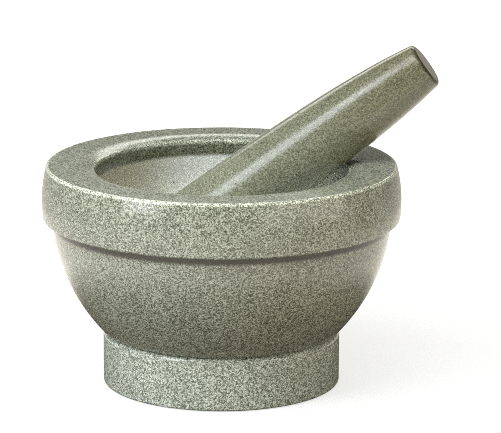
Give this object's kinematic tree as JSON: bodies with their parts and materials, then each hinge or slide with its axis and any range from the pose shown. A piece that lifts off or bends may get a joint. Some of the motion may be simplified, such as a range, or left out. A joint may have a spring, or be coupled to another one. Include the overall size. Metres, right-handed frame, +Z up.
{
  "type": "granite mortar and pestle",
  "caption": "Turned granite mortar with a broad rim band, round bowl and short round foot, and a loose tapered granite pestle leaning on its lip.",
  "frame": {"origin": "centre of the foot's flat underside, on the mortar's own axis", "axes": "+Z up along the mortar's axis, +X towards the side of the rim that the pestle leans over, -Y towards the viewer"},
  "size_m": [0.2206, 0.2004, 0.189],
  "materials": {
    "mortar_granite": "gloss",
    "pestle_granite": "gloss"
  },
  "bodies": {
    "mortar": {"mortar": "mortar_granite"},
    "pestle": {"pestle": "pestle_granite"}
  },
  "joints": [
    {"name": "pestle_lift", "type": "slide", "parent": "mortar", "child": "pestle", "axis": [0, 0, 1], "range_m": [0, 0.15]}
  ]
}
